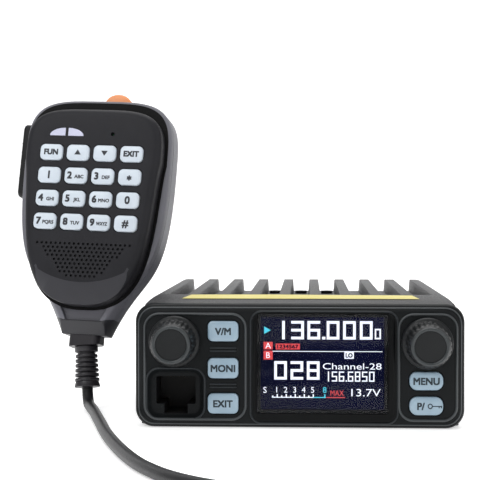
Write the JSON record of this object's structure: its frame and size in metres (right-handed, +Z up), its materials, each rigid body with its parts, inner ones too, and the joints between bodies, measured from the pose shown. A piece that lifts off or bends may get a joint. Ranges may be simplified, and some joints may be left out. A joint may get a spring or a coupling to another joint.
{
  "type": "mobile transceiver",
  "caption": "Compact mobile two-way radio with a finned cast chassis, colour display and knobs, and a keypad hand microphone on a curly lead.",
  "frame": {"origin": "centre of the radio's underside, on the bottom cover's outer face", "axes": "+X to the operator's right, +Y from the front panel to the rear, +Z up"},
  "size_m": [0.1844, 0.314, 0.1037],
  "materials": {
    "cast_aluminium": "satin",
    "cover_sheet": "matt",
    "panel_plastic": "satin",
    "window": "clear gloss",
    "display": "gloss",
    "black_plastic": "matt",
    "gold_contacts": "polished",
    "circuit_board": "gloss",
    "steel": "brushed",
    "speaker_black": "matt",
    "nickel": "bright",
    "black_steel": "satin",
    "knob_plastic": "satin",
    "button_plastic": "satin translucent",
    "key_plastic": "satin translucent",
    "silicone": "matt",
    "mic_face": "fine texture",
    "mic_shell": "fine texture",
    "indicator_plastic": "translucent",
    "orange_plastic": "satin",
    "relief_rubber": "satin",
    "cord_jacket": "gloss",
    "clear_plastic": "clear"
  },
  "bodies": {
    "radio": {"chassis": "cast_aluminium", "bottom_cover": "cover_sheet", "front_panel": "panel_plastic", "display_window": "window", "display_module": "display", "mic_jack": "black_plastic", "jack_contacts": "gold_contacts", "control_board": "circuit_board", "main_board": "circuit_board", "volume_control": "steel", "channel_encoder": "steel", "speaker": "speaker_black", "fan_frame": "black_plastic", "antenna_socket": "nickel", "power_inlet": "black_plastic", "speaker_jack": "black_plastic", "case_screws": "black_steel", "mic_cord_lead": "cord_jacket", "mic_cord_curl": "cord_jacket", "mic_cord_tail": "cord_jacket", "mic_plug": "clear_plastic"},
    "volume": {"volume_knob": "knob_plastic", "volume_shaft": "steel"},
    "channel": {"channel_knob": "knob_plastic", "channel_shaft": "steel"},
    "button_band": {"button_band": "button_plastic"},
    "button_monitor": {"button_monitor": "button_plastic"},
    "button_exit": {"button_exit": "button_plastic"},
    "button_menu": {"button_menu": "button_plastic"},
    "button_lock": {"button_lock": "button_plastic"},
    "fan": {"fan_rotor": "black_plastic"},
    "microphone": {"mic_front_cover": "mic_face", "mic_back_cover": "mic_shell", "mic_keypad_mat": "silicone", "mic_board": "circuit_board", "mic_speaker": "speaker_black", "mic_indicators": "indicator_plastic", "mic_cord_gland": "relief_rubber", "mic_strain_relief": "relief_rubber", "mic_hanger_stud": "steel", "mic_screws": "black_steel"},
    "ptt": {"ptt_button": "mic_shell"},
    "mic_top": {"mic_top_button": "orange_plastic"},
    "key_fun": {"key_fun": "key_plastic"},
    "key_up": {"key_up": "key_plastic"},
    "key_down": {"key_down": "key_plastic"},
    "key_exit": {"key_exit": "key_plastic"},
    "key_1": {"key_1": "key_plastic"},
    "key_2": {"key_2": "key_plastic"},
    "key_3": {"key_3": "key_plastic"},
    "key_star": {"key_star": "key_plastic"},
    "key_4": {"key_4": "key_plastic"},
    "key_5": {"key_5": "key_plastic"},
    "key_6": {"key_6": "key_plastic"},
    "key_0": {"key_0": "key_plastic"},
    "key_7": {"key_7": "key_plastic"},
    "key_8": {"key_8": "key_plastic"},
    "key_9": {"key_9": "key_plastic"},
    "key_hash": {"key_hash": "key_plastic"}
  },
  "joints": [
    {"name": "volume_turn", "type": "hinge", "parent": "radio", "child": "volume", "pos_m": [-0.037, -0.065, 0.0259], "axis": [0, -1, 0], "range_deg": [-150, 150]},
    {"name": "channel_turn", "type": "hinge", "parent": "radio", "child": "channel", "pos_m": [0.0377, -0.065, 0.0256], "axis": [0, -1, 0], "continuous": true},
    {"name": "press_band", "type": "slide", "parent": "radio", "child": "button_band", "axis": [0, 1, 0], "range_m": [0, 0.0005], "stiffness_N_per_m": 1500},
    {"name": "press_monitor", "type": "slide", "parent": "radio", "child": "button_monitor", "axis": [0, 1, 0], "range_m": [0, 0.0005], "stiffness_N_per_m": 1500},
    {"name": "press_exit", "type": "slide", "parent": "radio", "child": "button_exit", "axis": [0, 1, 0], "range_m": [0, 0.0005], "stiffness_N_per_m": 1500},
    {"name": "press_menu", "type": "slide", "parent": "radio", "child": "button_menu", "axis": [0, 1, 0], "range_m": [0, 0.0005], "stiffness_N_per_m": 1500},
    {"name": "press_lock", "type": "slide", "parent": "radio", "child": "button_lock", "axis": [0, 1, 0], "range_m": [0, 0.0005], "stiffness_N_per_m": 1500},
    {"name": "fan_spin", "type": "hinge", "parent": "radio", "child": "fan", "pos_m": [0.008, 0.053, 0.018], "axis": [0, 1, 0], "continuous": true},
    {"name": "mic_lift", "type": "slide", "parent": "radio", "child": "microphone", "axis": [0, 0, 1], "range_m": [0, 0.08]},
    {"name": "ptt_press", "type": "slide", "parent": "microphone", "child": "ptt", "axis": [0.9897, -0.1391, -0.0349], "range_m": [0, 0.001], "stiffness_N_per_m": 2000},
    {"name": "mic_top_press", "type": "slide", "parent": "microphone", "child": "mic_top", "axis": [-0.0627, -0.2011, -0.9776], "range_m": [0, 0.0005], "stiffness_N_per_m": 1500},
    {"name": "press_key_fun", "type": "slide", "parent": "microphone", "child": "key_fun", "axis": [0.1289, 0.9696, -0.2078], "range_m": [0, 0.0006], "stiffness_N_per_m": 1500},
    {"name": "press_key_up", "type": "slide", "parent": "microphone", "child": "key_up", "axis": [0.1289, 0.9696, -0.2078], "range_m": [0, 0.0006], "stiffness_N_per_m": 1500},
    {"name": "press_key_down", "type": "slide", "parent": "microphone", "child": "key_down", "axis": [0.1289, 0.9696, -0.2078], "range_m": [0, 0.0006], "stiffness_N_per_m": 1500},
    {"name": "press_key_exit", "type": "slide", "parent": "microphone", "child": "key_exit", "axis": [0.1289, 0.9696, -0.2078], "range_m": [0, 0.0006], "stiffness_N_per_m": 1500},
    {"name": "press_key_1", "type": "slide", "parent": "microphone", "child": "key_1", "axis": [0.1289, 0.9696, -0.2078], "range_m": [0, 0.0006], "stiffness_N_per_m": 1500},
    {"name": "press_key_2", "type": "slide", "parent": "microphone", "child": "key_2", "axis": [0.1289, 0.9696, -0.2078], "range_m": [0, 0.0006], "stiffness_N_per_m": 1500},
    {"name": "press_key_3", "type": "slide", "parent": "microphone", "child": "key_3", "axis": [0.1289, 0.9696, -0.2078], "range_m": [0, 0.0006], "stiffness_N_per_m": 1500},
    {"name": "press_key_star", "type": "slide", "parent": "microphone", "child": "key_star", "axis": [0.1289, 0.9696, -0.2078], "range_m": [0, 0.0006], "stiffness_N_per_m": 1500},
    {"name": "press_key_4", "type": "slide", "parent": "microphone", "child": "key_4", "axis": [0.1289, 0.9696, -0.2078], "range_m": [0, 0.0006], "stiffness_N_per_m": 1500},
    {"name": "press_key_5", "type": "slide", "parent": "microphone", "child": "key_5", "axis": [0.1289, 0.9696, -0.2078], "range_m": [0, 0.0006], "stiffness_N_per_m": 1500},
    {"name": "press_key_6", "type": "slide", "parent": "microphone", "child": "key_6", "axis": [0.1289, 0.9696, -0.2078], "range_m": [0, 0.0006], "stiffness_N_per_m": 1500},
    {"name": "press_key_0", "type": "slide", "parent": "microphone", "child": "key_0", "axis": [0.1289, 0.9696, -0.2078], "range_m": [0, 0.0006], "stiffness_N_per_m": 1500},
    {"name": "press_key_7", "type": "slide", "parent": "microphone", "child": "key_7", "axis": [0.1289, 0.9696, -0.2078], "range_m": [0, 0.0006], "stiffness_N_per_m": 1500},
    {"name": "press_key_8", "type": "slide", "parent": "microphone", "child": "key_8", "axis": [0.1289, 0.9696, -0.2078], "range_m": [0, 0.0006], "stiffness_N_per_m": 1500},
    {"name": "press_key_9", "type": "slide", "parent": "microphone", "child": "key_9", "axis": [0.1289, 0.9696, -0.2078], "range_m": [0, 0.0006], "stiffness_N_per_m": 1500},
    {"name": "press_key_hash", "type": "slide", "parent": "microphone", "child": "key_hash", "axis": [0.1289, 0.9696, -0.2078], "range_m": [0, 0.0006], "stiffness_N_per_m": 1500}
  ]
}
